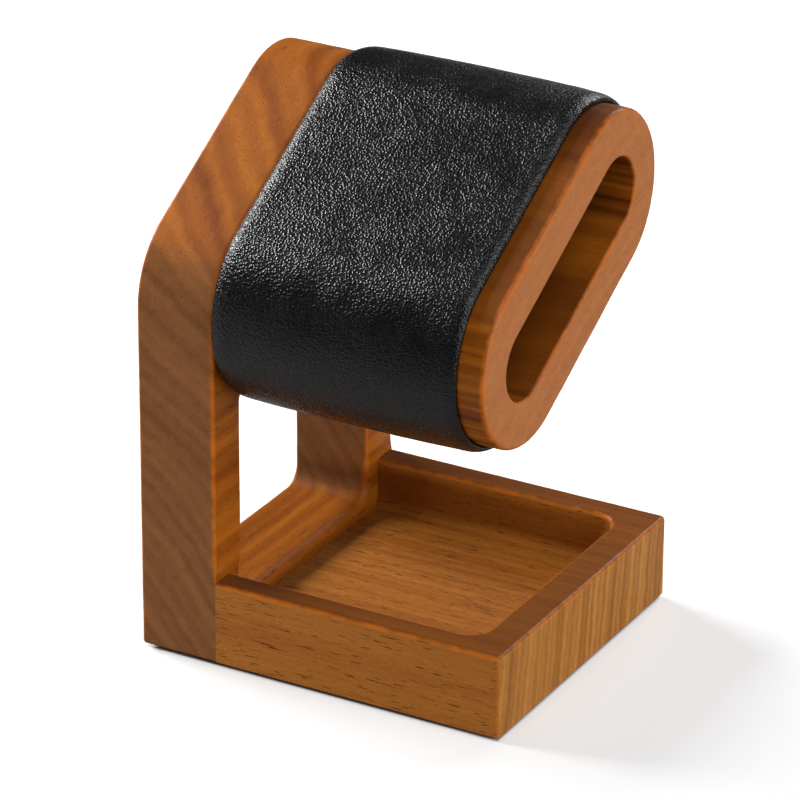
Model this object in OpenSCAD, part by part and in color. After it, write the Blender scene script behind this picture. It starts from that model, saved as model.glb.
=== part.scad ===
// Watch stand: a wooden upright and tray that carry a slanted, leather-wrapped arm.
// Millimetres. +Z is up and -Y is the front, where the arm ends. The origin is on the
// ground, under the middle of the base.

/* [Base] */
// Width of the base and of the upright, left to right
base_w = 75; // [66:1:90]
// Depth of the base, front to back, with the upright
base_d = 85; // [78:1:100]
// Thickness of the board that the upright is cut from
upright_t = 18; // [15:0.5:22]
// Height of the tray block
tray_h = 18.5; // [16:0.1:24]
// Wood left under the tray's pocket
tray_floor_t = 7.3; // [6.5:0.1:9]
// Width of the tray's side rims
rim_side = 6.3; // [5:0.1:9]
// Width of the tray's front rim
rim_front = 8; // [6:0.1:12]
// Radius of the pocket's front corners, seen from above
pocket_r = 5; // [3.5:0.5:8]

/* [Upright] */
// Width of each leg beside the window
leg_w = 11; // [9:0.5:14]
// Height of the rail under the window, above the board's lower edge
rail_h = 11.1; // [8:0.1:14]
// Radius of the window's lower corners
window_r = 4; // [2:0.5:6]
// Radius of the window's upper corners
window_top_r = 2.5; // [1.5:0.5:3]

/* [Arm] */
// Tilt of the arm's long section, from horizontal
arm_tilt = 29.5; // [20:0.5:40]
// Half of the straight length of the arm's section
arm_half = 21; // [17:0.5:23]
// Height of the arm's axis above the base's underside
arm_z = 87; // [80:0.5:95]
// How far the arm stands out from the upright
arm_len = 62.5; // [54:0.5:62.5]
// Half of the straight length of the slot's section
slot_half = 22.2; // [18:0.2:23]
// Radius of the slot's round ends
slot_r = 8.2; // [6:0.2:9]

/* [Sleeve] */
// Thickness of the foam under the leather
foam_t = 1.3; // [1:0.1:2]
// Thickness of the leather
leather_t = 1; // [0.6:0.1:1.4]
// Length of the sleeve along the arm
sleeve_len = 56.5; // [46:0.5:56.5]

/* [Fixings] */
// Radius of the arm's dowels
arm_dowel_r = 3; // [2.5:0.25:3.5]
// Length of the arm's dowels
arm_dowel_len = 28; // [20:1:30]
// Radius of the tray's dowels
tray_dowel_r = 2; // [1.5:0.25:2.25]
// Length of the tray's dowels
tray_dowel_len = 22; // [16:1:26]
// Radius of the foot pads
foot_r = 6; // [4:0.5:8]
// Thickness of the foot pads
foot_t = 0.8; // [0.5:0.1:1.5]

/* [Hidden] */
$fn = 96;
TRAY_DOWELS = ["tray_dowel_left", "tray_dowel_right"];
ARM_DOWELS = ["arm_dowel_lower", "arm_dowel_upper"];
FOOT_PADS = [
    "foot_pad_front_left", "foot_pad_front_right",
    "foot_pad_back_left", "foot_pad_back_right",
];

half_w = base_w / 2;
front_y = -base_d / 2;
back_y = base_d / 2;
face_y = back_y - upright_t;           // the upright's front face
board_z = foot_t;                      // underside of the wooden base
arm_cz = board_z + arm_z;
core_r = half_w - arm_half * cos(arm_tilt);   // the arm's ends touch the base's side planes
foam_r = core_r + foam_t;
sleeve_r = foam_r + leather_t;
pocket_w = half_w - rim_side;          // half of the pocket's width
pocket_y = front_y + rim_front;
floor_z = board_z + tray_floor_t;
window_w = half_w - leg_w;             // half of the window's width
sill_z = board_z + rail_h;

fit = 0.05;            // radial room of dowels in their holes, and between wrapped layers
sleeve_gap = 0.2;      // between the sleeve's back edge and the upright
wrap_gap = 0.3;        // between the foam and the wooden core
over = 1;              // how far cutting shapes run past what they cut
hole_extra = 1;        // how much deeper a dowel's hole is than the dowel, at each end
arm_dowel_shift = 2;   // how much further the arm's dowels reach into the arm than into the upright
grain = [0.66, 0.40, 0.20];
end_grain = [0.60, 0.36, 0.19];

// Places (across the board, height) of the dowel pairs.
tray_dowel_x = [-24, 24];
tray_dowel_z = board_z + tray_floor_t / 2;
arm_dowel_u = [-14, 14];               // along the arm's section
arm_dowel_v = [(core_r + slot_r) / 2, -(core_r + slot_r) / 2];
arm_dowel_back = arm_dowel_len / 2 - arm_dowel_shift;   // how far they reach into the upright
foot_inset = 10;                       // from the base's sides to a pad's centre

// ---- helpers ----

// Draws a shape of the X-Z plane and extrudes it from y_back towards the front.
module along_y(y_back, len) {
    translate([0, y_back, 0])
        rotate([90, 0, 0])
            linear_extrude(len)
                children();
}

// A slot-shaped outline with its long axis along X.
module stadium(r, half) {
    translate([-half, 0]) circle(r);
    translate([half, 0]) circle(r);
    translate([-half, -r]) square([2 * half, 2 * r]);
}

// The arm's section in the X-Z plane.
module arm_section(r, half) {
    translate([0, arm_cz])
        rotate(arm_tilt)
            stadium(r, half);
}

// A point of the X-Z plane from the arm's own directions: u along the section, v across it.
function arm_point(u, v) = [
    u * cos(arm_tilt) - v * sin(arm_tilt),
    arm_cz + u * sin(arm_tilt) + v * cos(arm_tilt)
];

// Wood left in a corner when a cutter of radius r has rounded it.
module corner_fill(corner, touch_a, touch_b, centre, r) {
    difference() {
        polygon([corner, touch_a, centre, touch_b]);
        translate(centre) circle(r);
    }
}

// A round rod along Y with chamfered ends and glue flutes.
module dowel(r, len) {
    chamfer = 0.6;
    flutes = 8;
    flute_r = 0.35;
    rotate([90, 0, 0])
        difference() {
            union() {
                translate([0, 0, chamfer]) cylinder(h = len - 2 * chamfer, r = r);
                cylinder(h = chamfer, r1 = r - chamfer, r2 = r);
                translate([0, 0, len - chamfer]) cylinder(h = chamfer, r1 = r, r2 = r - chamfer);
            }
            for (i = [0 : flutes - 1])
                rotate(i * 360 / flutes)
                    translate([r, 0, -over])
                        cylinder(h = len + 2 * over, r = flute_r, $fn = 24);
        }
}

// ---- the upright ----

module upright_outline() {
    low = arm_point(-arm_half, 0);
    high = arm_point(arm_half, 0);
    polygon([
        [-half_w, board_z], [half_w, board_z], [half_w, high[1]],
        high, low, [-half_w, low[1]]
    ]);
    arm_section(core_r, arm_half);
}

// The window's straight sides end above in the arm's own outline.
module window_outline() {
    low = arm_point(-arm_half, 0);
    reach = core_r + window_top_r;
    left_x = -window_w + window_top_r;
    left_z = low[1] - sqrt(pow(reach, 2) - pow(left_x - low[0], 2));
    right_x = window_w - window_top_r;
    right_u = (right_x - reach * sin(arm_tilt)) / cos(arm_tilt);
    right = arm_point(right_u, -reach);
    difference() {
        union() {
            translate([-window_w, sill_z + window_r])
                square([2 * window_w, arm_cz - sill_z - window_r]);
            translate([-window_w + window_r, sill_z])
                square([2 * (window_w - window_r), 2 * window_r]);
            for (side = [-1, 1])
                translate([side * (window_w - window_r), sill_z + window_r])
                    circle(window_r);
        }
        arm_section(core_r, arm_half);
        corner_fill(
            [-window_w, left_z + reach], [-window_w, left_z],
            low, [left_x, left_z], window_top_r
        );
        corner_fill(
            [window_w, right[1] + reach], [window_w, right[1]],
            arm_point(right_u, -core_r), right, window_top_r
        );
    }
}

module arm_dowel_holes(depth_back, depth_front) {
    for (i = [0, 1]) {
        at = arm_point(arm_dowel_u[i], arm_dowel_v[i]);
        translate([at[0], face_y + depth_back, at[1]])
            rotate([90, 0, 0])
                cylinder(h = depth_back + depth_front, r = arm_dowel_r + fit);
    }
}

module tray_dowel_holes(depth_back, depth_front) {
    for (x = tray_dowel_x)
        translate([x, face_y + depth_back, tray_dowel_z])
            rotate([90, 0, 0])
                cylinder(h = depth_back + depth_front, r = tray_dowel_r + fit);
}

module upright_frame() {
    color(end_grain)
        difference() {
            along_y(back_y, upright_t) upright_outline();
            along_y(back_y + over, upright_t + 2 * over) window_outline();
            arm_dowel_holes(arm_dowel_back + hole_extra, over);
            tray_dowel_holes(tray_dowel_len / 2 + hole_extra, over);
        }
}

// ---- the tray ----

// Plan of the pocket: round corners in front, open to the upright.
module pocket_plan() {
    translate([-pocket_w, pocket_y + pocket_r])
        square([2 * pocket_w, face_y - pocket_y - pocket_r + over]);
    translate([-pocket_w + pocket_r, pocket_y])
        square([2 * (pocket_w - pocket_r), 2 * pocket_r]);
    for (side = [-1, 1])
        translate([side * (pocket_w - pocket_r), pocket_y + pocket_r])
            circle(pocket_r);
}

module tray_base() {
    color(grain)
        difference() {
            translate([-half_w, front_y, board_z])
                cube([base_w, base_d - upright_t, tray_h]);
            translate([0, 0, floor_z])
                linear_extrude(tray_h)
                    pocket_plan();
            tray_dowel_holes(over, tray_dowel_len / 2 + hole_extra);
        }
}

// ---- the arm ----

module arm_core() {
    color(end_grain)
        difference() {
            along_y(face_y, arm_len) arm_section(core_r, arm_half);
            along_y(face_y + over, arm_len + 2 * over) arm_section(slot_r, slot_half);
            arm_dowel_holes(over, arm_dowel_len - arm_dowel_back + hole_extra);
        }
}

// ---- the wrapped sleeve ----

module foam_padding() {
    start = face_y - sleeve_gap - leather_t - fit;
    len = sleeve_len - 2 * leather_t - 2 * fit;
    color([0.2, 0.2, 0.22])
        difference() {
            along_y(start, len) arm_section(foam_r - fit, arm_half);
            along_y(start + over, len + 2 * over) arm_section(core_r + wrap_gap + fit, arm_half);
        }
}

module leather_sleeve() {
    start = face_y - sleeve_gap;
    color([0.06, 0.06, 0.065])
        difference() {
            along_y(start, sleeve_len) arm_section(sleeve_r, arm_half);
            along_y(start - leather_t, sleeve_len - 2 * leather_t) arm_section(foam_r, arm_half);
            along_y(start + over, sleeve_len + 2 * over) arm_section(core_r + fit, arm_half);
        }
}

// ---- dowels and feet ----

module tray_dowel(i) {
    color([0.8, 0.66, 0.45])
        translate([tray_dowel_x[i], face_y + tray_dowel_len / 2, tray_dowel_z])
            dowel(tray_dowel_r, tray_dowel_len);
}

module arm_dowel(i) {
    at = arm_point(arm_dowel_u[i], arm_dowel_v[i]);
    color([0.8, 0.66, 0.45])
        translate([at[0], face_y + arm_dowel_back, at[1]])
            dowel(arm_dowel_r, arm_dowel_len);
}

module foot_pad(i) {
    x = (i % 2 == 0 ? -1 : 1) * (half_w - foot_inset);
    y = (i < 2 ? -1 : 1) * (base_d / 2 - foot_inset);
    color([0.15, 0.14, 0.13])
        translate([x, y, 0])
            cylinder(h = foot_t, r = foot_r);
}

upright_frame();
tray_base();
arm_core();
foam_padding();
leather_sleeve();
for (i = [0 : len(TRAY_DOWELS) - 1])
    tray_dowel(i);
for (i = [0 : len(ARM_DOWELS) - 1])
    arm_dowel(i);
for (i = [0 : len(FOOT_PADS) - 1])
    foot_pad(i);
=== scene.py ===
"""A watch stand: the looks of its wood, leather, foam and felt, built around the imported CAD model.

Metres, +Z up. -Y is the front, where the arm ends. The arm's section rises towards +X.
"""
import math

import bmesh
import bpy
from mathutils import Euler, Matrix, Vector, noise


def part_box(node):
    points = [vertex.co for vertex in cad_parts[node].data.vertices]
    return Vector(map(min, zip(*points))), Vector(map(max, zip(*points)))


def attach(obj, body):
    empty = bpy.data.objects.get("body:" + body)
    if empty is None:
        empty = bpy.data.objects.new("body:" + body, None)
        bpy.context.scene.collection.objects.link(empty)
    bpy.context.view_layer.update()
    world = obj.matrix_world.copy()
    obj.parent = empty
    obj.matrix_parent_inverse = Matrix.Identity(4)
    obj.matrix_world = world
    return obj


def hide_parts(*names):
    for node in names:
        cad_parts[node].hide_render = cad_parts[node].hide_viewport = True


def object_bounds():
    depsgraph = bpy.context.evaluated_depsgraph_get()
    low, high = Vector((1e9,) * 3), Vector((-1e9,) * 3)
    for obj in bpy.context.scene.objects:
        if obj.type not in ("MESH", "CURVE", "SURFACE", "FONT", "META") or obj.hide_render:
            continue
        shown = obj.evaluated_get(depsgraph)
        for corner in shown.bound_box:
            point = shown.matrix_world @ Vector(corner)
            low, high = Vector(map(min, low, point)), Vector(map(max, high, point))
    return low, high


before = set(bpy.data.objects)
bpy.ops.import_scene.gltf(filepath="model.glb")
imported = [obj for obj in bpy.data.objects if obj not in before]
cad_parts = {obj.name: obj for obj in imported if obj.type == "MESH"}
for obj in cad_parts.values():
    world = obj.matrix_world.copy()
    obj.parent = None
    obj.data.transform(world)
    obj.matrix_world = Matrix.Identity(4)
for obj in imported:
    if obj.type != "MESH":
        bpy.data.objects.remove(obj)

CAD_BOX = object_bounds()
MM = 0.001

# ---- sizes from the frame ----

BOARD_LOW, BOARD_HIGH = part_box("upright_frame")
TRAY_LOW, TRAY_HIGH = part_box("tray_base")
CORE_LOW, CORE_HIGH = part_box("arm_core")
SLEEVE_LOW, SLEEVE_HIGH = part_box("leather_sleeve")
HALF_W = BOARD_HIGH.x
BOARD_Z = BOARD_LOW.z              # underside of the wood
BACK_Y = BOARD_HIGH.y
FACE_Y = BOARD_LOW.y               # the upright's front face
ARM_END_Y = CORE_LOW.y
ARM_Z = (CORE_LOW.z + CORE_HIGH.z) / 2

# ---- sizes that the design states ----

TILT = math.radians(29.5)
ARM_HALF = (CORE_HIGH.x - (CORE_HIGH.z - ARM_Z)) / (math.cos(TILT) - math.sin(TILT))
CORE_R = CORE_HIGH.x - ARM_HALF * math.cos(TILT)
SLEEVE_R = SLEEVE_HIGH.x - ARM_HALF * math.cos(TILT)
SLOT_HALF, SLOT_R = 22.2 * MM, 8.2 * MM
WINDOW_W = HALF_W - 11 * MM        # half of the window's width
SILL_Z = BOARD_Z + 11.1 * MM
WINDOW_R, WINDOW_TOP_R = 4 * MM, 2.5 * MM
POCKET_W = HALF_W - 6.3 * MM       # half of the pocket's width
POCKET_Y = TRAY_LOW.y + 8 * MM
POCKET_R = 5 * MM
FLOOR_Z = BOARD_Z + 7.3 * MM
FOOT_R = 6 * MM

# ---- finish of the edges ----

ARM_EASE = 1.3 * MM                # the arm's rim
SLOT_EASE = 0.7 * MM               # the mouth of its slot
FRONT_EASE = 1.04 * MM             # the upright's front
BACK_EASE = 0.8 * MM               # the upright's back
SILL_EASE, SILL_MORE = 0.9 * MM, 1.6 * MM   # the window's front, and what the rail has on top of that
TRAY_EASE, TRAY_UNDER_EASE = 0.9 * MM, 0.5 * MM
POCKET_EASE = 1.0 * MM
SQUARE = 0.02 * MM                 # what an edge has where it meets another piece
JOINT = 0.01 * MM                  # the gap between the tray and the upright
BOARD_CORNER_R, TRAY_CORNER_R = 0.9 * MM, 1.2 * MM
COVE = 2.3 * MM                    # where the pocket's walls meet its floor
CLEAR = 3 * MM                     # how far a wall's plain rows keep from its rounded edges
EASE_STEPS, WALL_STEPS, COVE_STEPS, FOLD_STEPS = 6, 4, 8, 16
SHARP = math.radians(40)           # faces that meet at a wider angle have a crease between them

# ---- soft pieces ----

LEATHER_CLEAR, FOAM_CLEAR = 0.06 * MM, 0.35 * MM   # from the arm's wood to the inside of each
LEATHER_ENDS = 2.8 * MM, 3.6 * MM  # how far its front and back end round off along the arm
FOAM_ENDS = 0.4 * MM, 0.4 * MM
FOLD_R = 0.7 * MM                  # of a folded edge, next to the wood
INNER_ROWS = 6

# ---- studio ----

FLOOR_HALF = 4.0
FLOOR_PALE, FLOOR_GLOW, FLOOR_DULL = 0.66, 0.33, 0.3
ROOM_LIGHT = 0.04
LENS, SENSOR = 235.88, 36
CAMERA_AT = (-0.86350, -0.47848, 0.51596)
CAMERA_DOWN, CAMERA_TURN, CAMERA_ROLL = math.radians(25.179), math.radians(-60.923), math.radians(0.261)


# ---- helpers for meshes ----

def arc(centre, radius, start, stop, steps):
    """Points of an arc in a plane, with its outward directions. Angles are in degrees."""
    points = []
    for i in range(steps + 1):
        a = math.radians(start + (stop - start) * i / steps)
        way = Vector((math.cos(a), math.sin(a)))
        points.append((Vector(centre) + radius * way, way))
    return points


def outline(parts):
    """Joins (arc, number of steps of the straight after it) pairs into one closed outline."""
    points = []
    for i, (part, steps) in enumerate(parts):
        points += part
        (p, n), (q, m) = part[-1], parts[(i + 1) % len(parts)][0][0]
        for k in range(1, steps):
            points.append((p.lerp(q, k / steps), n.lerp(m, k / steps).normalized()))
    return points


def flipped(part):
    """An arc that bulges into a hole: the same points, with their directions turned round."""
    return [(p, -n) for p, n in part]


def on_arm(u, v):
    """A point of the X-Z plane, u along the arm's section and v across it."""
    c, s = math.cos(TILT), math.sin(TILT)
    return Vector((u * c - v * s, ARM_Z + u * s + v * c))


def stadium(radius, half, steps=28, straight=24):
    """Outline of the arm's section, with outward directions."""
    t = math.degrees(TILT)
    return outline([
        (arc(on_arm(half, 0), radius, t - 90, t + 90, steps), straight),
        (arc(on_arm(-half, 0), radius, t + 90, t + 270, steps), straight),
    ])


def wobble(point, size=0.12, pitch=9 * MM):
    """How much a hand-sanded edge's radius differs at a place, as a factor near 1."""
    return 1 + size * noise.noise(Vector(point) / pitch)


def in_xz(p, depth):
    """A point of an upright outline, at a depth along Y."""
    return Vector((p.x, depth, p.y))


def in_xy(p, height):
    """A point of a level outline, at a height."""
    return Vector((p.x, p.y, height))


def quarter(steps):
    """The angles of a quarter turn."""
    return [math.pi / 2 * k / steps for k in range(steps + 1)]


class Builder:
    """A bmesh that remembers which vertices lie on eased edges."""

    def __init__(self):
        self.bm = bmesh.new()
        self.worn = self.bm.verts.layers.float.new("worn")

    def loop(self, places, worn=0.0):
        made = []
        for place in places:
            v = self.bm.verts.new(place)
            v[self.worn] = worn
            made.append(v)
        return made

    def bridge(self, a, b):
        """A band of faces between two loops."""
        for i in range(len(a)):
            j = (i + 1) % len(a)
            self.bm.faces.new((a[i], a[j], b[j], b[i]))

    def wall(self, points, place, start, stop, ease_start, ease_stop, inward=-1, rows=1):
        """A wall from depth start to depth stop with a rounded edge at each end. ease_* give each edge's
        radius at a point. inward is -1 where rounding moves a point against its outward direction.
        Between the edges it has rows - 1 plain loops. Returns the first and the last loop."""
        sign = 1 if stop > start else -1
        rings = []                 # (radius, depth, way along, share out, share along, wear)
        for a in quarter(EASE_STEPS):
            rings.append((ease_start, start, sign, 1 - math.sin(a), 1 - math.cos(a), math.sin(2 * a)))
        first, last = start + sign * CLEAR, stop - sign * CLEAR
        for k in range(rows - 1):
            rings.append((None, first + (last - first) * k / max(1, rows - 2), 0, 0, 0, 0))
        for a in quarter(EASE_STEPS):
            rings.append((ease_stop, stop, -sign, 1 - math.cos(a), 1 - math.sin(a), math.sin(2 * a)))
        loops = []
        for ease, depth, way, off, rise, worn in rings:
            places = []
            for p, n in points:
                e = ease(p) if ease else 0
                places.append(place(p + n * (inward * e * off), depth + way * e * rise))
            loops.append(self.loop(places, worn))
        for a, b in zip(loops, loops[1:]):
            self.bridge(a, b)
        return loops[0], loops[-1]

    def cap(self, *loops):
        """A flat face inside the first loop and outside the others."""
        edges = []
        for loop in loops:
            for i in range(len(loop)):
                pair = (loop[i], loop[(i + 1) % len(loop)])
                edges.append(self.bm.edges.get(pair) or self.bm.edges.new(pair))
        bmesh.ops.triangle_fill(self.bm, use_beauty=True, use_dissolve=False, edges=edges)

    def cut(self, place, normal):
        """Cuts away what lies beyond a plane and closes the cut."""
        parts = self.bm.verts[:] + self.bm.edges[:] + self.bm.faces[:]
        found = bmesh.ops.bisect_plane(self.bm, geom=parts, plane_co=place, plane_no=normal,
                                       clear_outer=True)
        edges = [e for e in found["geom_cut"] if isinstance(e, bmesh.types.BMEdge)]
        bmesh.ops.triangle_fill(self.bm, use_beauty=True, use_dissolve=False, edges=edges)

    def finish(self, name):
        """The object, smooth but for its creases."""
        bmesh.ops.recalc_face_normals(self.bm, faces=self.bm.faces[:])
        for face in self.bm.faces:
            face.smooth = True
        for edge in self.bm.edges:
            edge.smooth = len(edge.link_faces) == 2 and edge.calc_face_angle(0) < SHARP
        mesh = bpy.data.meshes.new(name)
        self.bm.to_mesh(mesh)
        self.bm.free()
        piece = bpy.data.objects.new(name, mesh)
        bpy.context.scene.collection.objects.link(piece)
        normals = piece.modifiers.new("flat_faces_stay_flat", "WEIGHTED_NORMAL")
        normals.keep_sharp = True
        return piece


def place_piece(piece, slot, material, *nodes):
    """Gives a piece its material and its place in the frame, instead of the CAD nodes."""
    piece.data.materials.append(material)
    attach(piece, "root")
    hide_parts(*nodes)


# ---- wooden pieces ----

def make_upright():
    """The board: outer outline, window, and edges that are eased except along the tray's glue joint."""
    low, high = on_arm(-ARM_HALF, 0), on_arm(ARM_HALF, 0)
    foot_x, foot_z = HALF_W - BOARD_CORNER_R, BOARD_Z + BOARD_CORNER_R
    outer = outline([
        (arc((-foot_x, foot_z), BOARD_CORNER_R, 180, 270, 6), 40),
        (arc((foot_x, foot_z), BOARD_CORNER_R, 270, 360, 6), 50),
        (arc(high, CORE_R, 0, 120, 40), 24),
        (arc(low, CORE_R, 120, 180, 20), 40),
    ])
    # The window's top follows the arm's outline; its two fillets touch that outline and the window's sides.
    reach = CORE_R + WINDOW_TOP_R
    fillet_x = WINDOW_W - WINDOW_TOP_R
    left = Vector((-fillet_x, low.y - math.sqrt(reach ** 2 - (-fillet_x - low.x) ** 2)))
    right = on_arm((fillet_x - reach * math.sin(TILT)) / math.cos(TILT), -reach)
    touch = math.degrees(math.atan2(left.y - low.y, left.x - low.x)) % 360
    sill_x, sill_z = WINDOW_W - WINDOW_R, SILL_Z + WINDOW_R
    window = outline([
        (arc((-sill_x, sill_z), WINDOW_R, 180, 270, 12), 34),
        (arc((sill_x, sill_z), WINDOW_R, 270, 360, 12), 40),
        (arc(right, WINDOW_TOP_R, 0, 120, 12), 24),
        (flipped(arc(low, CORE_R, 300, touch, 12)), 1),
        (arc(left, WINDOW_TOP_R, touch - 180, 180, 12), 26),
    ])

    def joint_ease(p):
        """The front edge: square beside the tray, eased above it."""
        above = min(1, max(0, (p.y - TRAY_HIGH.z) / (2.5 * MM)))
        return (SQUARE + FRONT_EASE * above) * wobble(in_xz(p, 0))

    def back_ease(p):
        return BACK_EASE * wobble(in_xz(p, 1))

    def sill_ease(p):
        """The rail's front edge is rounded further than the rest of the window."""
        near = min(1, max(0, 1 - (p.y - sill_z) / (6 * MM)))
        return (SILL_EASE + SILL_MORE * near) * wobble(in_xz(p, 1))

    b = Builder()
    back_out, front_out = b.wall(outer, in_xz, BACK_Y, FACE_Y, back_ease, joint_ease, rows=8)
    back_in, front_in = b.wall(window, in_xz, BACK_Y, FACE_Y, back_ease, sill_ease, inward=1, rows=8)
    b.cap(back_out, back_in)
    b.cap(front_out, front_in)
    return b.finish("upright")


def rounded_box(half_w, low_y, high_y, front_r, back_r):
    """Outline of a box seen from above, with outward directions."""
    return outline([
        (arc((-half_w + front_r, low_y + front_r), front_r, 180, 270, 10), 30),
        (arc((half_w - front_r, low_y + front_r), front_r, 270, 360, 10), 30),
        (arc((half_w - back_r, high_y - back_r), back_r, 0, 90, 8), 30),
        (arc((-half_w + back_r, high_y - back_r), back_r, 90, 180, 8), 30),
    ])


def make_tray():
    """The block with its pocket. It is made whole and then cut off flush with the upright's face."""
    spare = 3 * MM
    outer = rounded_box(HALF_W, TRAY_LOW.y, FACE_Y + spare, TRAY_CORNER_R, TRAY_CORNER_R)

    def bottom_ease(p):
        return TRAY_UNDER_EASE * wobble(in_xy(p, 0))

    def rim_ease(p):
        return TRAY_EASE * wobble(in_xy(p, 1))

    b = Builder()
    under, top = b.wall(outer, in_xy, BOARD_Z, TRAY_HIGH.z, bottom_ease, rim_ease, rows=6)
    b.cap(under)
    # The pocket: an eased mouth, a straight wall, and a cove that tightens the corners on its way down.
    rings = []                     # (how much wider than the pocket, height, wear)
    for a in quarter(EASE_STEPS):
        grow, drop = POCKET_EASE * (1 - math.sin(a)), POCKET_EASE * (1 - math.cos(a))
        rings.append((grow, TRAY_HIGH.z - drop, math.sin(2 * a)))
    for k in range(1, WALL_STEPS + 1):
        share = k / (WALL_STEPS + 1)
        rings.append((0, (TRAY_HIGH.z - POCKET_EASE) * (1 - share) + (FLOOR_Z + COVE) * share, 0))
    for a in quarter(COVE_STEPS):
        rings.append((-COVE * (1 - math.cos(a)), FLOOR_Z + COVE * (1 - math.sin(a)), 0))
    loops = []
    for grow, height, worn in rings:
        # the pocket's back lies just past the cut, which opens the pocket towards the upright
        back_r = 0.05 * MM + max(0, -grow) * 1.3
        shape = rounded_box(POCKET_W + grow, POCKET_Y - grow, FACE_Y + spare / 3, POCKET_R + grow, back_r)
        loops.append(b.loop([in_xy(p, height) for p, _ in shape], worn))
    for a, c in zip(loops, loops[1:]):
        b.bridge(a, c)
    b.cap(top, loops[0])
    b.cap(loops[-1])
    b.cut((0, FACE_Y - JOINT, 0), (0, 1, 0))
    return b.finish("tray")


def make_arm():
    """The arm's wooden ring, flush with the upright at the back and eased at its free end."""
    def square(p):
        return SQUARE

    def rim(p):
        return ARM_EASE * wobble(in_xz(p, 2))

    def mouth(p):
        return SLOT_EASE * wobble(in_xz(p, 3))

    b = Builder()
    outer = stadium(CORE_R, ARM_HALF)
    slot = stadium(SLOT_R, SLOT_HALF)
    back_out, front_out = b.wall(outer, in_xz, FACE_Y, ARM_END_Y, square, rim, rows=20)
    back_in, front_in = b.wall(slot, in_xz, FACE_Y, ARM_END_Y, square, mouth, inward=1, rows=20)
    b.cap(back_out, back_in)
    b.cap(front_out, front_in)
    return b.finish("arm")


# ---- soft pieces ----

def wrapped(name, low_y, high_y, inner, outer, ends, steps, rows, relief):
    """A closed ring round the arm. inner and outer are its radii; ends are how far its front and back
    edge round off along the arm, and relief moves the outer surface. It has steps points round the arm
    and rows along it."""
    end_front, end_back = ends
    half_t = (outer - inner) / 2
    turn = min(FOLD_R, half_t)
    section = []                   # (depth, height above the middle of the thickness, share of the relief)

    def edge(tip, way, length):
        """From the inside round the folded edge to the outside."""
        points = []
        for k in range(FOLD_STEPS + 1):
            a = math.pi * (k / FOLD_STEPS - 0.5)
            back, rise = (turn, turn) if a < 0 else (length, 2 * half_t - turn)
            height = turn - half_t + rise * math.sin(a)
            points.append((tip - way * back * (1 - math.cos(a)), height, (height + half_t) / (2 * half_t)))
        return points

    section += edge(high_y, 1, end_back)
    for k in range(1, rows):
        section.append((high_y - end_back + (low_y + end_front - high_y + end_back) * k / rows, half_t, 1))
    section += edge(low_y, -1, end_front)[::-1]
    for k in range(1, INNER_ROWS):
        section.append((low_y + turn + (high_y - turn - low_y - turn) * k / INNER_ROWS, -half_t, 0))
    middle = (inner + outer) / 2
    straight = round(steps * ARM_HALF / (ARM_HALF * 2 + math.pi * middle))
    shape = stadium(middle, ARM_HALF, steps // 2 - straight, straight)
    b = Builder()
    loops = []
    for depth, height, share in section:
        places = []
        for p, n in shape:
            rise = relief(p, depth) * share if share else 0
            places.append(in_xz(p + n * (height + rise), depth))
        loops.append(b.loop(places))
    for a, c in zip(loops, loops[1:] + loops[:1]):
        b.bridge(a, c)
    return b.finish(name)


def leather_relief(p, depth):
    """Leather drawn over foam: fullest in the middle, softly uneven, with a butt seam underneath and a
    fold where it is pushed against the upright."""
    at = in_xz(p, depth)
    along = (depth - SLEEVE_LOW.y) / (SLEEVE_HIGH.y - SLEEVE_LOW.y)
    crown = -0.5 * MM * abs(2 * along - 1) ** 3
    soft = 0.10 * MM * noise.noise(at / (14 * MM)) + 0.05 * MM * noise.noise(at / (5 * MM))
    grain = 0.02 * MM * noise.noise(at / (1.3 * MM))
    seam_from = on_arm(0, -SLEEVE_R)
    across = (p - seam_from).length if p.y < ARM_Z else 1
    seam = -0.5 * MM * math.exp(-(across / (0.5 * MM)) ** 2)
    fold_at = on_arm(-ARM_HALF, 0) + Vector((0.35, -1)).normalized() * SLEEVE_R
    reach = math.hypot((p - fold_at).length / (7 * MM), (SLEEVE_HIGH.y - 2.5 * MM - depth) / (2.2 * MM))
    fold = 0.55 * MM * math.exp(-reach ** 2)
    return crown + soft + grain + seam + fold - 0.1 * MM


def make_leather():
    return wrapped("leather_wrap", SLEEVE_LOW.y, SLEEVE_HIGH.y, CORE_R + LEATHER_CLEAR, SLEEVE_R,
                   LEATHER_ENDS, 560, 130, leather_relief)


def make_foam():
    low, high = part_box("foam_padding")

    def relief(p, depth):
        return 0.03 * MM * noise.noise(in_xz(p, depth) / (1.5 * MM))

    inner, outer = CORE_R + FOAM_CLEAR, high.x - ARM_HALF * math.cos(TILT)
    return wrapped("foam_layer", low.y, high.y, inner, outer, FOAM_ENDS, 220, 40, relief)


def make_foot(node):
    """A felt disc with a soft, slightly uneven rim."""
    low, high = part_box(node)
    centre = (low + high) / 2
    steps = 64
    ring = outline([(arc((centre.x, centre.y), FOOT_R, 0, 360 - 360 / steps, steps - 1), 1)])
    thickness = high.z - low.z

    def soft(p):
        return thickness * 0.4 * wobble(in_xy(p, 0), 0.3, 1 * MM)

    b = Builder()
    under, top = b.wall(ring, in_xy, low.z, high.z, soft, soft)
    b.cap(under)
    b.cap(top)
    return b.finish(node.replace("foot_pad", "felt_foot"))


# ---- materials ----

def srgb(r, g, b):
    """A colour given as it looks on screen, 0 to 255, as Blender's linear colour."""
    def linear(v):
        v /= 255
        return v / 12.92 if v <= 0.04045 else ((v + 0.055) / 1.055) ** 2.4
    return (linear(r), linear(g), linear(b), 1)


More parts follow.
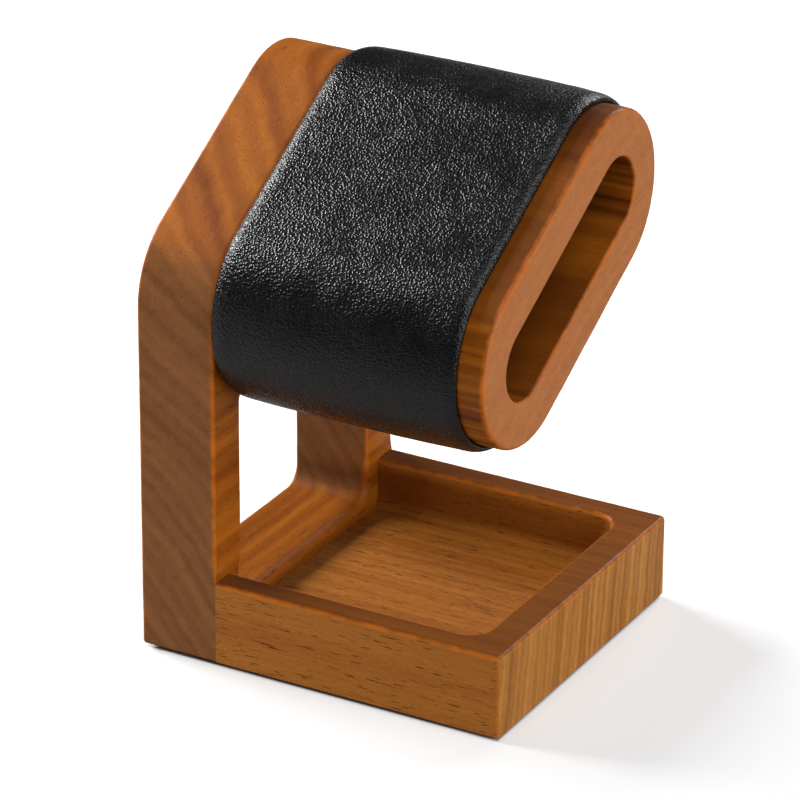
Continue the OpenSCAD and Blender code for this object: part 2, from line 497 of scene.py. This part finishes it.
class Nodes:
    """Short names for the nodes of one material."""

    def __init__(self, name):
        self.material = bpy.data.materials.new(name)
        self.material.use_nodes = True
        self.tree = self.material.node_tree
        self.tree.nodes.clear()
        self.shader = self.tree.nodes.new("ShaderNodeBsdfPrincipled")
        out = self.tree.nodes.new("ShaderNodeOutputMaterial")
        self.link(self.shader.outputs[0], out.inputs[0])

    def link(self, a, b):
        self.tree.links.new(a, b)

    def put(self, socket, value):
        if isinstance(value, bpy.types.NodeSocket):
            self.link(value, socket)
        else:
            socket.default_value = value

    def math(self, operation, a, b=0.0, c=0.0, clamp=False):
        n = self.tree.nodes.new("ShaderNodeMath")
        n.operation, n.use_clamp = operation, clamp
        for socket, value in zip(n.inputs, (a, b, c)):
            self.put(socket, value)
        return n.outputs[0]

    def vector(self, operation, a, b=(0, 0, 0)):
        n = self.tree.nodes.new("ShaderNodeVectorMath")
        n.operation = operation
        self.put(n.inputs[0], a)
        self.put(n.inputs[1], b)
        return n.outputs["Value"] if operation in ("DOT_PRODUCT", "LENGTH") else n.outputs[0]

    def place(self, turn, scale):
        """The frame's coordinates in millimetres, turned so that the grain runs along Z, then scaled."""
        at = self.tree.nodes.new("ShaderNodeTexCoord").outputs["Object"]
        n = self.tree.nodes.new("ShaderNodeMapping")
        n.vector_type = "POINT"
        n.inputs["Rotation"].default_value = turn
        n.inputs["Scale"].default_value = (1 / MM,) * 3
        self.link(at, n.inputs["Vector"])
        return self.vector("MULTIPLY", n.outputs[0], scale)

    def noise(self, turn, scale, detail, roughness=0.5, distortion=0.0):
        """Clouds, with scale of them in a millimetre along each axis of place()."""
        n = self.tree.nodes.new("ShaderNodeTexNoise")
        self.link(self.place(turn, scale), n.inputs["Vector"])
        n.inputs["Scale"].default_value = 1.0
        n.inputs["Detail"].default_value = detail
        n.inputs["Roughness"].default_value = roughness
        n.inputs["Distortion"].default_value = distortion
        return n.outputs["Fac"]

    def cells(self, turn, scale, smooth=None):
        """Distance to the nearest of scattered points, blended between them where smooth is given."""
        n = self.tree.nodes.new("ShaderNodeTexVoronoi")
        n.feature = "F1" if smooth is None else "SMOOTH_F1"
        self.link(self.place(turn, scale), n.inputs["Vector"])
        n.inputs["Scale"].default_value = 1.0
        if smooth is not None:
            n.inputs["Smoothness"].default_value = smooth
        return n.outputs["Distance"]

    def ramp(self, value, low, high, to_low=0.0, to_high=1.0):
        """value from low to high becomes to_low to to_high, held at the ends and smooth between."""
        n = self.tree.nodes.new("ShaderNodeMapRange")
        n.interpolation_type = "SMOOTHSTEP"
        for socket, v in zip(n.inputs, (value, low, high, to_low, to_high)):
            self.put(socket, v)
        return n.outputs[0]

    def mix(self, share, a, b, blend="MIX"):
        n = self.tree.nodes.new("ShaderNodeMix")
        n.data_type, n.blend_type = "RGBA", blend
        self.put(n.inputs["Factor"], share)
        colours = [s for s in n.inputs if s.type == "RGBA"]
        self.put(colours[0], a)
        self.put(colours[1], b)
        return [s for s in n.outputs if s.type == "RGBA"][0]

    def attribute(self, name):
        n = self.tree.nodes.new("ShaderNodeAttribute")
        n.attribute_name = name
        return n.outputs["Fac"]

    def bump(self, height, depth_mm, strength=1.0):
        """height, 0 to 1, as a relief of depth_mm."""
        n = self.tree.nodes.new("ShaderNodeBump")
        n.inputs["Strength"].default_value = strength
        n.inputs["Distance"].default_value = depth_mm * MM
        self.link(height, n.inputs["Height"])
        return n.outputs[0]

    def gloss(self, coat, coat_roughness, specular):
        self.shader.inputs["Coat Weight"].default_value = coat
        self.shader.inputs["Coat Roughness"].default_value = coat_roughness
        self.shader.inputs["Specular IOR Level"].default_value = specular


STILL = (0, 0, 0)                  # no turn
ALONG_X = (0, math.radians(90), 0)
ALONG_Y = (math.radians(90), 0, 0)
# a darker tint: real stain in the grain's streaks, fibres and specks, and painted shade on the tray's rim
# top
DEEP_STAIN_AND_SHADE = (0.40, 0.32, 0.24, 1)
PORE_TONE = srgb(52, 24, 8)
WORN_TONE = srgb(188, 96, 24)


def year_rings(m, turn, ring_mm, pith, soft):
    """Late to early wood, 0 to 1: the distance from the pith, bent by slow waves, in uneven rings."""
    slow = m.noise(turn, (0.035, 0.035, 0.006), 2)
    waves = m.noise(turn, (0.25, 0.25, 0.02), 2)
    flat = m.vector("MULTIPLY", m.vector("SUBTRACT", m.place(turn, (1, 1, 1)), pith), (1, 1, 0.02))
    reach = m.math("ADD", m.vector("LENGTH", flat), m.math("MULTIPLY", slow, 2.2 * ring_mm))
    reach = m.math("ADD", reach, m.math("MULTIPLY", waves, 0.5 * ring_mm))
    turns = m.math("MULTIPLY", reach, 2 * math.pi / ring_mm)
    ring = m.math("MULTIPLY_ADD", m.math("SINE", turns), 0.5, 0.5)
    n = m.tree.nodes.new("ShaderNodeTexNoise")
    n.noise_dimensions = "1D"
    n.inputs["Scale"].default_value = 0.55 / ring_mm
    n.inputs["Detail"].default_value = 3
    m.link(reach, n.inputs["W"])
    uneven = m.ramp(n.outputs["Fac"], 0.3, 0.7)
    bands = m.math("MULTIPLY_ADD", ring, 0.35, m.math("MULTIPLY", uneven, 0.65))
    return m.math("MULTIPLY_ADD", m.math("SUBTRACT", bands, 0.5), soft, 0.5, clamp=True)


def end_grain(m, turn):
    """1 on faces across the grain, 0 on faces along it."""
    facing = m.tree.nodes.new("ShaderNodeNewGeometry").outputs["Normal"]
    grain_way = Euler(turn).to_matrix().inverted() @ Vector((0, 0, 1))
    across = m.math("ABSOLUTE", m.vector("DOT_PRODUCT", facing, tuple(grain_way)))
    return m.ramp(across, 0.55, 0.95)


def wood(name, turn, side, end, ring_mm, pith, pore, coat, rough, soft=1.0, rim=0.0):
    """Lacquered hardwood. turn lays the grain along Z; the rings curve round a pith off to one side.
    side and end are the (late, early) tones of long grain and of end grain. pore says how dark and
    frequent the pores are, coat how heavy the lacquer is, and rough how rough the wood is under it; soft
    fades the rings, and rim is how strongly painted shade darkens the top of the tray's rim."""
    m = Nodes(name)
    rings = year_rings(m, turn, ring_mm, pith, soft)
    across = end_grain(m, turn)
    colour = m.mix(across, m.mix(rings, *side), m.mix(rings, *end))
    # fibres, streaks and pores, long in the grain's direction
    fibre = m.noise(turn, (3.2, 3.2, 0.12), 4, 0.65)
    streak = m.noise(turn, (0.45, 0.45, 0.018), 3, 0.6)
    spots = m.noise(turn, (3.4, 3.4, 0.26), 1, 0.4)
    pores = m.ramp(spots, 0.75 - 0.1 * pore, 0.80 - 0.1 * pore)
    speck = m.noise(turn, (4.5, 4.5, 1.2), 2, 0.6)
    speckled = m.math("MULTIPLY", m.ramp(speck, 0.35, 0.65, 1.0, 0.0), m.ramp(across, 0, 1, 0.26, 0.36))
    stain_and_shade = m.mix(1.0, colour, DEEP_STAIN_AND_SHADE, "MULTIPLY")
    colour = m.mix(m.ramp(streak, 0.3, 0.7, 0.0, 0.22), colour, stain_and_shade)
    colour = m.mix(m.ramp(fibre, 0.30, 0.72, 0.34, 0.0), colour, stain_and_shade)
    colour = m.mix(speckled, colour, stain_and_shade)
    colour = m.mix(m.math("MULTIPLY", pores, pore), colour, PORE_TONE)
    # painted shade: the top face of the tray's rim is darkened, standing in for the shadow that the legs
    # and arm cast there
    if rim:
        height = m.tree.nodes.new("ShaderNodeSeparateXYZ")
        m.link(m.place(STILL, (1, 1, 1)), height.inputs[0])
        top = TRAY_HIGH.z / MM
        colour = m.mix(m.ramp(height.outputs[2], top - 0.5, top - 0.1, 0.0, rim), colour, stain_and_shade)
    # edges sanded through to a lighter orange
    rubbed = m.noise(turn, (0.35, 0.35, 0.35), 3)
    worn = m.math("MULTIPLY", m.attribute("worn"), m.ramp(rubbed, 0.35, 0.65, 0.1, 0.6))
    m.put(m.shader.inputs["Base Color"], m.mix(worn, colour, WORN_TONE))
    m.put(m.shader.inputs["Roughness"], m.ramp(fibre, 0.3, 0.8, rough, rough + 0.12))
    # relief of the wood, and of the lacquer that half fills it
    lacquer = m.noise(turn, (0.8, 0.8, 0.35), 2)
    hair = m.noise(turn, (5.5, 5.5, 0.9), 2, 0.6)
    grain = m.math("MULTIPLY_ADD", hair, 0.6, m.math("SUBTRACT", fibre, pores))
    m.link(m.bump(grain, 0.05, 0.7), m.shader.inputs["Normal"])
    film = m.math("MULTIPLY_ADD", pores, -0.8, m.math("MULTIPLY_ADD", grain, 0.35, lacquer))
    m.link(m.bump(film, 0.09, 0.8), m.shader.inputs["Coat Normal"])
    m.gloss(coat, 0.25, 0.12)
    return m.material


def leather_material():
    """Black leather with a fine pebble that glints where it faces the light."""
    m = Nodes("pebbled_leather")
    drift = m.noise(STILL, (0.12, 0.12, 0.12), 2)
    cell = m.cells(STILL, (1.8, 1.8, 1.8), smooth=0.12)
    pebble = m.math("MULTIPLY_ADD", m.math("MULTIPLY", cell, cell), -2.4, 1.0, clamp=True)
    soft = m.noise(STILL, (1.1, 1.1, 1.1), 2)
    raised = m.math("MULTIPLY", pebble, m.ramp(drift, 0.3, 0.7, 0.8, 1.12))
    m.put(m.shader.inputs["Base Color"], m.mix(m.ramp(drift, 0.3, 0.7), srgb(7, 7, 8), srgb(13, 13, 14)))
    m.put(m.shader.inputs["Roughness"], m.ramp(pebble, 0.0, 1.0, 0.33, 0.22))
    m.link(m.bump(m.math("MULTIPLY_ADD", soft, 0.25, raised), 0.09), m.shader.inputs["Normal"])
    m.gloss(0.0, 0.3, 0.4)
    return m.material


def foam_material():
    m = Nodes("dark_foam")
    cell = m.cells(STILL, (2.5, 2.5, 2.5))
    m.put(m.shader.inputs["Base Color"], m.mix(m.ramp(cell, 0.1, 0.7), srgb(66, 66, 70), srgb(40, 40, 43)))
    m.shader.inputs["Roughness"].default_value = 0.9
    m.link(m.bump(cell, 0.12), m.shader.inputs["Normal"])
    return m.material


def felt_material():
    m = Nodes("dark_felt")
    hair = m.noise(STILL, (4, 4, 4), 5, 0.7, 1.5)
    m.put(m.shader.inputs["Base Color"], m.mix(m.ramp(hair, 0.3, 0.7), srgb(26, 24, 22), srgb(52, 48, 44)))
    m.shader.inputs["Roughness"].default_value = 1.0
    m.shader.inputs["Sheen Weight"].default_value = 0.3
    m.link(m.bump(hair, 0.1), m.shader.inputs["Normal"])
    return m.material


def board_wood():
    """Level grain along X: its rings cross the board's sides as slanting bands."""
    return wood("upright_wood", ALONG_X, side=(srgb(120, 54, 6), srgb(190, 112, 28)),
                end=(srgb(116, 74, 40), srgb(148, 98, 58)), ring_mm=3.6, pith=(-60, 123, 0),
                pore=0.7, coat=0.1, rough=0.5, soft=0.75)


def block_wood():
    return wood("tray_wood", ALONG_Y, side=(srgb(152, 88, 30), srgb(176, 112, 44)),
                end=(srgb(150, 90, 32), srgb(210, 146, 68)), ring_mm=2.3, pith=(-260, -40, 0),
                pore=0.85, coat=0.18, rough=0.4, soft=0.8, rim=0.85)


def ring_wood():
    return wood("arm_wood", ALONG_Y, side=(srgb(86, 38, 4), srgb(156, 88, 16)),
                end=(srgb(178, 110, 58), srgb(188, 119, 65)), ring_mm=1.7, pith=(70, 60, 0),
                pore=0.2, coat=0.15, rough=0.46)


def dowel_wood():
    return wood("dowel_wood", ALONG_Y, side=(srgb(198, 160, 108), srgb(226, 196, 148)),
                end=(srgb(180, 145, 100), srgb(205, 170, 124)), ring_mm=1.4, pith=(8, 30, 0),
                pore=0.0, coat=0.0, rough=0.6)


def build_pieces():
    place_piece(make_upright(), "upright_wood", board_wood(), "upright_frame")
    place_piece(make_tray(), "tray_wood", block_wood(), "tray_base")
    place_piece(make_arm(), "arm_wood", ring_wood(), "arm_core")
    leather = make_leather()
    place_piece(leather, "black_leather", leather_material(), "leather_sleeve")
    foam = make_foam()
    place_piece(foam, "foam", foam_material(), "foam_padding")
    felt, plain_wood = felt_material(), dowel_wood()
    for node in sorted(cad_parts):
        if node.startswith("foot_pad"):
            place_piece(make_foot(node), "foot_felt", felt, node)
        elif "dowel" in node:
            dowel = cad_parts[node]
            dowel.data.materials.clear()
            dowel.data.materials.append(plain_wood)


# ---- stage, light and camera ----

def for_camera(tree, seen, unseen):
    """A shader that is seen for the camera's own rays and unseen for the light that the object gets."""
    path = tree.nodes.new("ShaderNodeLightPath")
    mix = tree.nodes.new("ShaderNodeMixShader")
    tree.links.new(path.outputs["Is Camera Ray"], mix.inputs[0])
    tree.links.new(unseen, mix.inputs[1])
    tree.links.new(seen, mix.inputs[2])
    return mix.outputs[0]


def floor_material():
    """Pale paint. It looks near white, and throws less light on the stand, as in a dark studio."""
    material = bpy.data.materials.new("floor_paint")
    material.use_nodes = True
    tree = material.node_tree
    tree.nodes.clear()
    paint = tree.nodes.new("ShaderNodeBsdfDiffuse")
    paint.inputs["Color"].default_value = (FLOOR_PALE,) * 3 + (1,)
    glow = tree.nodes.new("ShaderNodeEmission")
    # It has no glow right under the stand, which paints a contact shadow there, so that the gap between the
    # feet reads as a dark line.
    at = tree.nodes.new("ShaderNodeNewGeometry").outputs["Position"]
    inside = tree.nodes.new("ShaderNodeVectorMath")
    inside.operation = "ABSOLUTE"
    tree.links.new(at, inside.inputs[0])
    apart = tree.nodes.new("ShaderNodeSeparateXYZ")
    tree.links.new(inside.outputs[0], apart.inputs[0])
    gaps = []
    for axis, half in ((0, HALF_W), (1, BACK_Y)):
        gap = tree.nodes.new("ShaderNodeMapRange")
        gap.inputs["From Min"].default_value = half - 1.0 * MM
        gap.inputs["From Max"].default_value = half - 0.5 * MM
        tree.links.new(apart.outputs[axis], gap.inputs["Value"])
        gaps.append(gap.outputs[0])
    outside = tree.nodes.new("ShaderNodeMath")
    outside.operation = "MAXIMUM"
    tree.links.new(gaps[0], outside.inputs[0])
    tree.links.new(gaps[1], outside.inputs[1])
    strength = tree.nodes.new("ShaderNodeMath")
    strength.operation = "MULTIPLY"
    strength.inputs[1].default_value = FLOOR_GLOW
    tree.links.new(outside.outputs[0], strength.inputs[0])
    tree.links.new(strength.outputs[0], glow.inputs["Strength"])
    both = tree.nodes.new("ShaderNodeAddShader")
    tree.links.new(paint.outputs[0], both.inputs[0])
    tree.links.new(glow.outputs[0], both.inputs[1])
    dull = tree.nodes.new("ShaderNodeBsdfDiffuse")
    dull.inputs["Color"].default_value = (FLOOR_DULL,) * 3 + (1,)
    out = tree.nodes.new("ShaderNodeOutputMaterial")
    tree.links.new(for_camera(tree, both.outputs[0], dull.outputs[0]), out.inputs[0])
    return material


def make_stage():
    """A large pale floor."""
    bm = bmesh.new()
    ways = ((-1, -1), (1, -1), (1, 1), (-1, 1))
    bm.faces.new([bm.verts.new((x * FLOOR_HALF, y * FLOOR_HALF, 0)) for x, y in ways])
    mesh = bpy.data.meshes.new("floor")
    bm.to_mesh(mesh)
    bm.free()
    floor = bpy.data.objects.new("floor", mesh)
    floor.data.materials.append(floor_material())
    bpy.context.scene.collection.objects.link(floor)


def softbox(name, way, reach, width, height, power, matte=True, gloss=True):
    """A rectangular lamp at distance reach in direction way, facing the stand. matte and gloss say which
    of the two kinds of reflection show it."""
    lamp = bpy.data.lights.new(name, "AREA")
    lamp.shape, lamp.size, lamp.size_y = "RECTANGLE", width, height
    lamp.energy = power
    holder = bpy.data.objects.new(name, lamp)
    aim = Vector((0, 0, CAD_BOX[1].z / 2))
    offset = Vector(way).normalized() * reach
    holder.location = aim + offset
    holder.rotation_euler = offset.to_track_quat("Z", "Y").to_euler()
    holder.visible_diffuse, holder.visible_glossy = matte, gloss
    bpy.context.scene.collection.objects.link(holder)


def make_lights():
    """Two lamps behind, one for matte light and a smaller, higher one for glints, and weaker ones round
    the stand. The world is white to the camera and nearly dark to the stand."""
    softbox("key_behind", (0.08, 0.93, 0.40), 1.0, 0.8, 0.3, 22.0, gloss=False)
    softbox("glint", (0.08, 0.84, 0.54), 1.0, 0.28, 0.2, 11.0, matte=False)
    softbox("right_card", (1.0, -0.05, 0.5), 1.1, 0.5, 0.3, 4.0)
    softbox("top_front", (-0.1, -0.4, 0.9), 1.1, 0.4, 0.4, 4.0)
    softbox("left_card", (-1.0, -0.1, -0.025), 1.1, 0.8, 0.06, 6.5, gloss=False)
    softbox("front_card", (0.3, -1.0, 0.0), 1.1, 0.7, 0.1, 5.0, gloss=False)
    softbox("front_fill", (-0.25, -0.97, 0.45), 1.1, 0.6, 0.3, 4.5)
    world = bpy.data.worlds.new("studio")
    world.use_nodes = True
    tree = world.node_tree
    tree.nodes.clear()
    white = tree.nodes.new("ShaderNodeBackground")
    dim = tree.nodes.new("ShaderNodeBackground")
    dim.inputs["Color"].default_value = (1, 1, 1, 1)
    dim.inputs["Strength"].default_value = ROOM_LIGHT
    white.inputs["Color"].default_value = (1, 1, 1, 1)
    out = tree.nodes.new("ShaderNodeOutputWorld")
    tree.links.new(for_camera(tree, white.outputs[0], dim.outputs[0]), out.inputs[0])
    bpy.context.scene.world = world
    bpy.context.scene.view_settings.view_transform = "Standard"


def make_camera():
    """The photo's viewing angle, through a long lens."""
    camera = bpy.data.cameras.new("camera")
    camera.lens, camera.sensor_width = LENS, SENSOR
    camera.clip_start, camera.clip_end = 0.05, 50
    holder = bpy.data.objects.new("camera", camera)
    turn = Euler((math.pi / 2 - CAMERA_DOWN, 0, CAMERA_TURN)).to_matrix()
    roll = Matrix.Rotation(CAMERA_ROLL, 3, "Z")
    holder.matrix_world = Matrix.LocRotScale(Vector(CAMERA_AT), (turn @ roll).to_quaternion(), None)
    bpy.context.scene.collection.objects.link(holder)
    bpy.context.scene.camera = holder


make_camera()
build_pieces()
make_stage()
make_lights()
